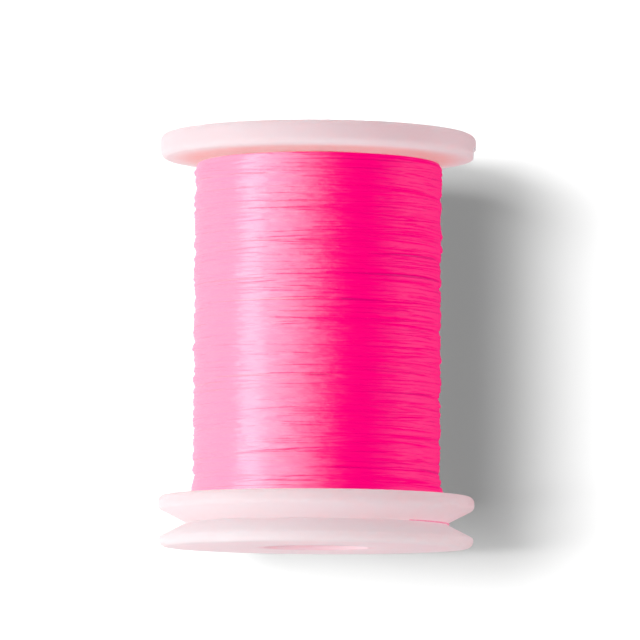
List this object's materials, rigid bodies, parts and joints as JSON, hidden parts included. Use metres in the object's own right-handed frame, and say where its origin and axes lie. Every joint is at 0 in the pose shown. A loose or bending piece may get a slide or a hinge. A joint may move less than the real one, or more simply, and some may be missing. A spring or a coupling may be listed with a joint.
{
  "type": "fly-tying thread spool",
  "caption": "Small flanged plastic spool wound full with flat pink fly-tying thread, with a snap cap at its base that pinches the thread's free end.",
  "frame": {"origin": "centre of the snap cap's resting face, on the spool's axis", "axes": "+Z along the spool's axis from the snap cap to the top flange; +X through the gate flat on the top flange's rim"},
  "size_m": [0.022, 0.022, 0.0288],
  "materials": {
    "body_plastic": "milky translucent moulded polypropylene, satin",
    "cap_plastic": "milky translucent moulded polypropylene, satin",
    "thread": "fluorescent pink flat waxed filament thread with a soft lengthwise sheen"
  },
  "bodies": {
    "spool": {"spool_body": "body_plastic", "thread_winding": "thread", "thread_tail": "thread"},
    "cap": {"snap_cap": "cap_plastic"}
  },
  "joints": [
    {"name": "cap_slide", "type": "slide", "parent": "spool", "child": "cap", "axis": [0, 0, -1], "range_m": [0, 0.0012]}
  ]
}
